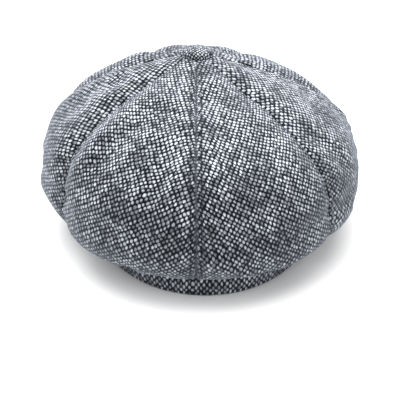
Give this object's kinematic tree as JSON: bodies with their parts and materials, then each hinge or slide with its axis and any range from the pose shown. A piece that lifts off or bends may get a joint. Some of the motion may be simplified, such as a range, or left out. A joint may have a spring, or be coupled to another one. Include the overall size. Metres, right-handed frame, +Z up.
{
  "type": "newsboy cap",
  "caption": "Newsboy cap of speckled tweed: gored puffed crown with a covered button, narrow band, lining, sweatband and a stiff snap-down peak.",
  "frame": {"origin": "the floor point under the middle of the cap's overall length and width, as the cap stands at rest on the back of its band and the front of its peak", "axes": "+Z up, -Y the front where the peak is, +X the wearer's left"},
  "size_m": [0.24, 0.281, 0.1298],
  "materials": {
    "tweed": "matte",
    "lining_satin": "satin",
    "buckram": "matte",
    "twill": "matte",
    "label_cloth": "matte",
    "steel": "satin",
    "washer_plastic": "matte",
    "board_plastic": "matte"
  },
  "bodies": {
    "cap": {"crown_panel_left_rear_side": "tweed", "crown_panel_left_back": "tweed", "crown_panel_right_back": "tweed", "crown_panel_right_rear_side": "tweed", "crown_panel_right_front_side": "tweed", "crown_panel_right_front": "tweed", "crown_panel_left_front": "tweed", "crown_panel_left_front_side": "tweed", "lining_panel_left_rear_side": "lining_satin", "lining_panel_left_back": "lining_satin", "lining_panel_right_back": "lining_satin", "lining_panel_right_rear_side": "lining_satin", "lining_panel_right_front_side": "lining_satin", "lining_panel_right_front": "lining_satin", "lining_panel_left_front": "lining_satin", "lining_panel_left_front_side": "lining_satin", "outer_band": "tweed", "band_interlining": "buckram", "sweatband": "twill", "size_tab": "label_cloth", "blank_label": "label_cloth", "button_cover": "tweed", "button_shell": "steel", "button_back_plate": "steel", "button_rivet": "steel", "button_washer": "washer_plastic", "snap_socket": "steel", "snap_socket_cap": "steel"},
    "peak": {"peak_upper_cover": "tweed", "peak_board": "board_plastic", "peak_under_cover": "tweed", "snap_stud": "steel", "snap_stud_back": "steel"}
  },
  "joints": [
    {"name": "peak_flex", "type": "hinge", "parent": "cap", "child": "peak", "pos_m": [0, -0.04528, 0.01106], "axis": [1, 0, 0], "range_deg": [0, 10], "stiffness_Nm_per_rad": 2.5, "springref_deg": -2.86}
  ]
}
